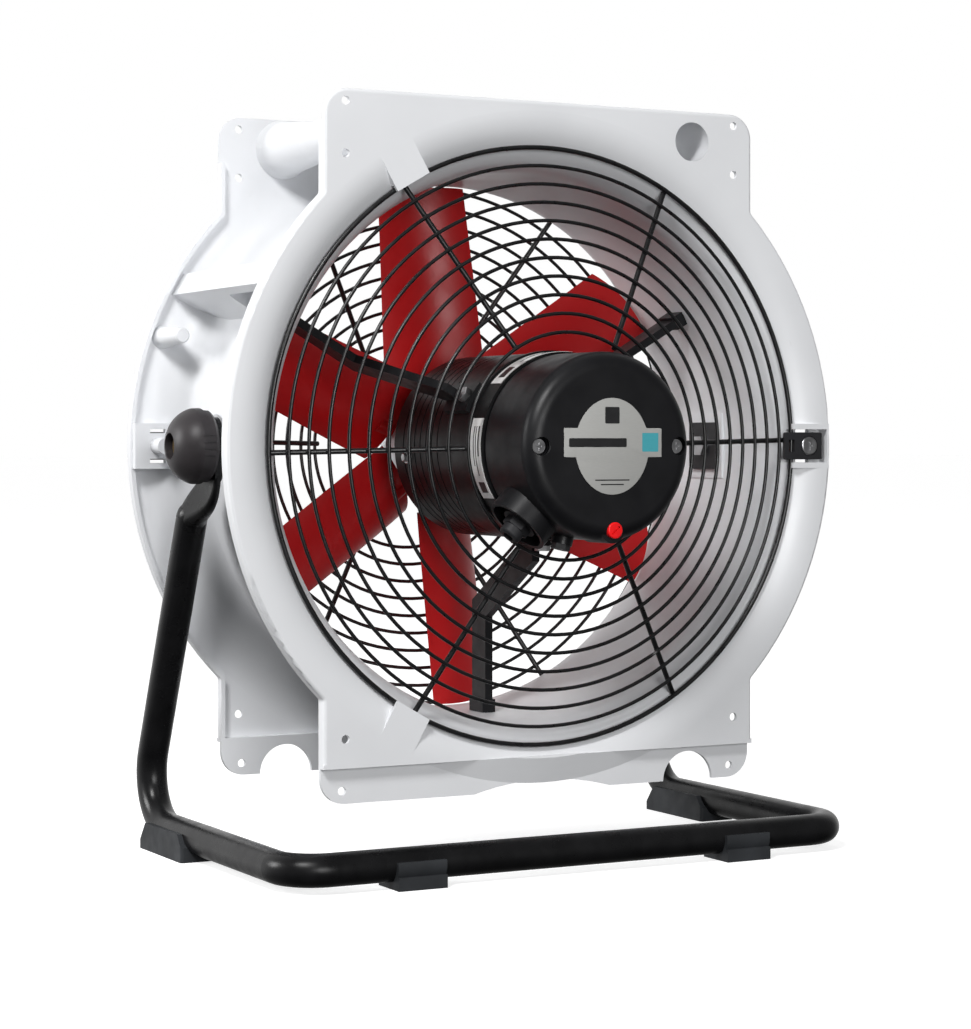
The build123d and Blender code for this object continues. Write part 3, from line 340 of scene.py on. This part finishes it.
# blank label with plain blocks where a maker's print would be
PRINT_RISE = (0.38, 0.52)
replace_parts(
    make_piece(
        "label_sheet",
        *loft([[place(x, CAP_FACE_Y - rise, z) for x, z in label_outline(inset)]
               for rise, inset in ((0.0, 0.0), (0.36, 0.0), (0.42, 0.2))]),
        materials["label_film"], "label_film",
    ),
    "label_plate",
)
make_piece(
    "label_blocks",
    *join_bodies([
        on_cap(rounded_bar(-15, 3.3, 60, 8, 1.2), *PRINT_RISE),
        on_cap(rounded_bar(0, 28, 15, 15, 1), *PRINT_RISE),
        on_cap(rounded_bar(0, -30.5, 36, 1.1, 0.4), *PRINT_RISE),
        on_cap(rounded_bar(0, -34.5, 24, 1.1, 0.4), *PRINT_RISE),
    ]),
    PRINT_DARK, "label_film",
)
make_piece("label_patch", *on_cap(rounded_bar(40, 3.6, 17, 17, 0.6), *PRINT_RISE), PRINT_TEAL, "label_film")


def sticker_bar(turn_from, turn_to, y_from, y_to):
    """Printed bar that follows the round of the motor."""
    rings = []
    for i in range(13):
        turn = radians(turn_from + (turn_to - turn_from) * i / 12)
        rings.append([
            place(reach * cos(turn), y, reach * sin(turn))
            for reach, y in (
                (MOTOR_R + 0.2, y_from), (MOTOR_R + 0.2, y_to), (MOTOR_R + 0.5, y_to), (MOTOR_R + 0.5, y_from),
            )
        ])
    return loft(rings)


make_piece(
    "sticker_print",
    *join_bodies([
        sticker_bar(88, 104, -157, -154), sticker_bar(88, 118, -151.5, -150), sticker_bar(88, 112, -148, -146.5),
        sticker_bar(124, 134, -156, -145), sticker_bar(168, 186, -157, -154.5), sticker_bar(168, 198, -151.5, -150),
        sticker_bar(168, 192, -147.5, -146), sticker_bar(202, 209, -156, -145),
    ]),
    PRINT_DARK, "sticker_film",
)


def weld_bead(reach, y, turn):
    """Small lump where a ring of the guard is welded to a spoke."""
    rings = []
    for row in range(1, 6):
        drop = cos(radians(30 * row))
        spread = sin(radians(30 * row))
        ring = []
        for i in range(8):
            along = reach + 2.6 * spread * cos(tau * i / 8)
            across = 3.2 * spread * sin(tau * i / 8)
            ring.append(place(
                along * cos(turn) - across * sin(turn), y + 2.1 * drop, along * sin(turn) + across * cos(turn),
            ))
        rings.append(ring)
    return loft(rings)


# the rings step in and forward from the rim; the rear guard is the front one turned half way round
for guard_name, guard_side in (("front_guard_welds", 1), ("rear_guard_welds", -1)):
    beads = []
    for spoke in range(SPOKE_COUNT):
        for ring_index in INNER_RINGS:
            ring_y = RIM_RING_Y + RING_STEP_Y * ring_index + WELD_BEHIND_RING
            spoke_turn = radians(360 / SPOKE_COUNT * spoke + GUARD_TURN)
            if guard_side < 0:
                spoke_turn = radians(180) - spoke_turn
            beads.append(weld_bead(RIM_RING_R - RING_STEP_R * ring_index, guard_side * ring_y, spoke_turn))
    make_piece(guard_name, *join_bodies(beads), materials["guard_wire"], "guard_wire")


def turned_stack(centre, axis, steps):
    """Body along an axis through rings given as (distance, radius, number of flats or 0 for round)."""
    across = Vector(axis).orthogonal().normalized()
    beside = Vector(axis).cross(across).normalized()
    rings = []
    for distance, radius, flats in steps:
        ring = []
        for i in range(36):
            turn = tau * i / 36
            reach = radius
            if flats:
                reach = radius / cos((turn % (tau / flats)) - pi / flats)
            offset = Vector(axis) * distance + (across * cos(turn) + beside * sin(turn)) * reach
            ring.append(place(*(Vector(centre) + offset)))
        rings.append(ring)
    return loft(rings)


# earthing screw and its washer on the side of the motor shell
make_piece(
    "earth_screw",
    *join_bodies([
        turned_stack((-MOTOR_R, -8, -11), (-1, 0, 0), ((-1.0, 6.0, 0), (1.0, 6.0, 0), (1.2, 5.7, 0))),
        turned_stack((-MOTOR_R, -8, -11), (-1, 0, 0), ((0.5, 3.9, 6), (4.2, 3.9, 6), (4.9, 3.3, 0))),
    ]),
    materials["zinc_steel"], "zinc_steel",
)


# ---------------------------------------------------------------- floor, light and camera
def floor():
    """Pale floor, bright enough to run into the backdrop; it throws no light back on the object."""
    mesh = bpy.data.meshes.new("floor")
    edge = 60.0
    mesh.from_pydata([(-edge, -edge, 0), (edge, -edge, 0), (edge, edge, 0), (-edge, edge, 0)], [], [(0, 1, 2, 3)])
    obj = bpy.data.objects.new("floor", mesh)
    scene.collection.objects.link(obj)
    obj.visible_diffuse = False
    obj.visible_glossy = False
    made = Shader("floor_paint", (0.7, 0.7, 0.7), 0.8, specular=0.0)
    made.vary_color(3.0, (0.68, 0.68, 0.68))
    made.base.inputs["Emission Color"].default_value = (1, 1, 1, 1)
    made.base.inputs["Emission Strength"].default_value = 0.72
    mesh.materials.append(made.material)


def studio_world():
    """White backdrop behind the object that falls off to a dim room in front of it and below."""
    world = bpy.data.worlds.new("studio")
    world.use_nodes = True
    tree = world.node_tree

    def fade(value, start, end, low, high):
        made = tree.nodes.new("ShaderNodeMapRange")
        tree.links.new(value, made.inputs["Value"])
        for key, number in (("From Min", start), ("From Max", end), ("To Min", low), ("To Max", high)):
            made.inputs[key].default_value = number
        return made.outputs["Result"]

    axes = tree.nodes.new("ShaderNodeSeparateXYZ")
    tree.links.new(tree.nodes.new("ShaderNodeTexCoord").outputs["Generated"], axes.inputs["Vector"])
    product = tree.nodes.new("ShaderNodeMath")
    product.operation = "MULTIPLY"
    tree.links.new(fade(axes.outputs["Y"], 0.0, 0.7, 0.16, 1.0), product.inputs[0])
    tree.links.new(fade(axes.outputs["Z"], -0.5, -0.1, 0.2, 1.0), product.inputs[1])
    tree.links.new(product.outputs["Value"], tree.nodes["Background"].inputs["Strength"])
    tree.nodes["Background"].inputs["Color"].default_value = (1, 1, 1, 1)
    scene.world = world


def area_light(name, spot, size, power):
    """White round light aimed at the middle of the duct."""
    light = bpy.data.lights.new(name, "AREA")
    light.shape = "DISK"
    light.size = size
    light.energy = power
    obj = bpy.data.objects.new(name, light)
    obj.location = spot
    obj.rotation_euler = (CENTRE - Vector(spot)).to_track_quat("-Z", "Y").to_euler()
    scene.collection.objects.link(obj)


floor()
studio_world()
area_light("key", (-2.0, -1.6, 2.6), 0.9, 80)
area_light("front", (-0.6, -3.2, 0.7), 1.4, 46)
area_light("side", (-2.8, 1.2, 1.2), 1.2, 48)
scene.view_settings.view_transform = "Standard"

# camera solved from the outline of the fan
CAMERA_AZIMUTH = radians(-27.87)
CAMERA_DISTANCE = 2.5794
CAMERA_HEIGHT = 3.7 * MM
camera = bpy.data.cameras.new("camera")
camera.sensor_width = 36
camera.lens = 91.53
camera.shift_x = 0.0018
camera.shift_y = -0.0703
camera_object = bpy.data.objects.new("camera", camera)
camera_object.location = CENTRE + Vector(
    (CAMERA_DISTANCE * sin(CAMERA_AZIMUTH), -CAMERA_DISTANCE * cos(CAMERA_AZIMUTH), CAMERA_HEIGHT)
)
camera_object.rotation_euler = (radians(90), 0, CAMERA_AZIMUTH)
scene.collection.objects.link(camera_object)
scene.camera = camera_object
